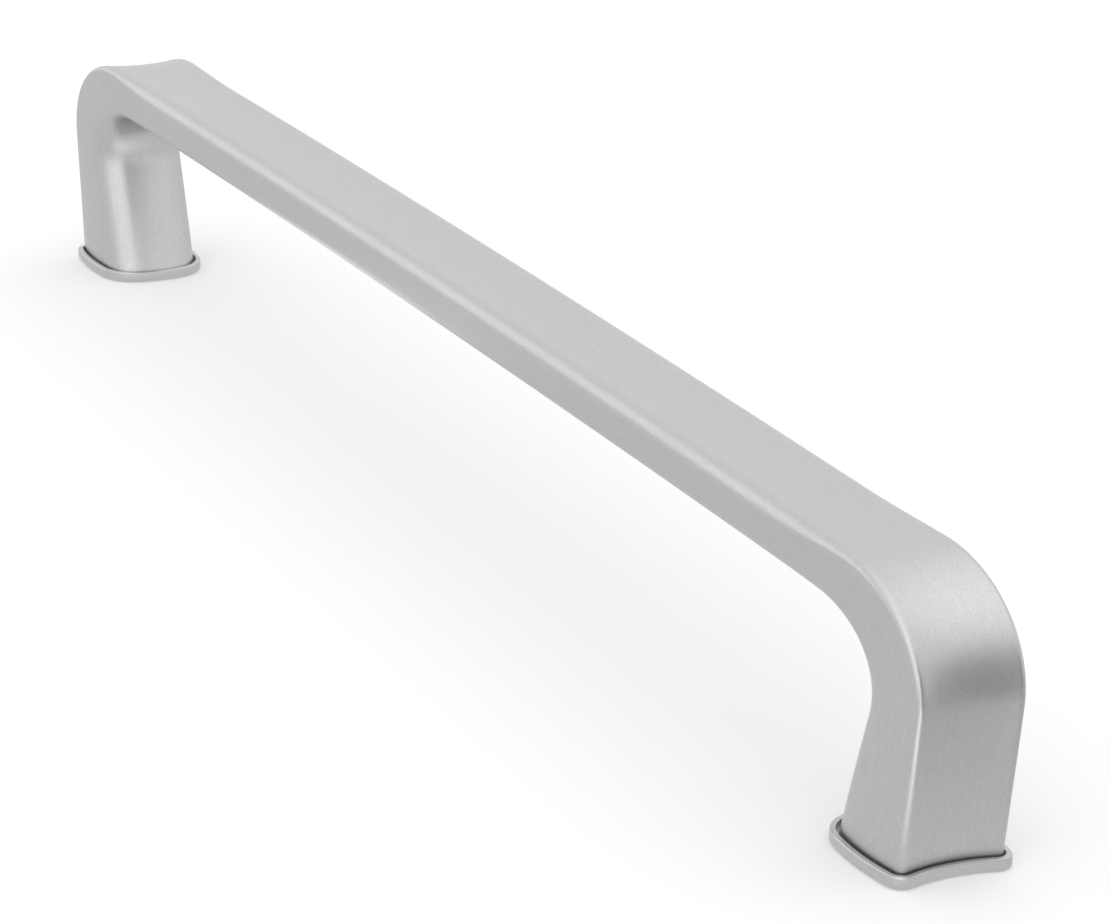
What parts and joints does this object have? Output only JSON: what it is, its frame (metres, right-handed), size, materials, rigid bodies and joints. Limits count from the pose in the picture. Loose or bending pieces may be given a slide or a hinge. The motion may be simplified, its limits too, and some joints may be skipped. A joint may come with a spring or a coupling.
{
  "type": "door pull handle",
  "caption": "Long cast door pull with a dished face, bends into flared legs and thin foot plates; fixed through the door by screws into the legs.",
  "frame": {"origin": "on the door's face, midway between the two fixing screws", "axes": "+X along the bar, +Z away from the door, +Y across the bar"},
  "size_m": [0.329, 0.0212, 0.0429],
  "materials": {
    "cast_nickel": "satin brushed nickel plate",
    "plate_nickel": "satin nickel plate"
  },
  "bodies": {
    "root": {"handle_bar": "cast_nickel", "left_foot_plate": "plate_nickel", "right_foot_plate": "plate_nickel"}
  },
  "joints": []
}
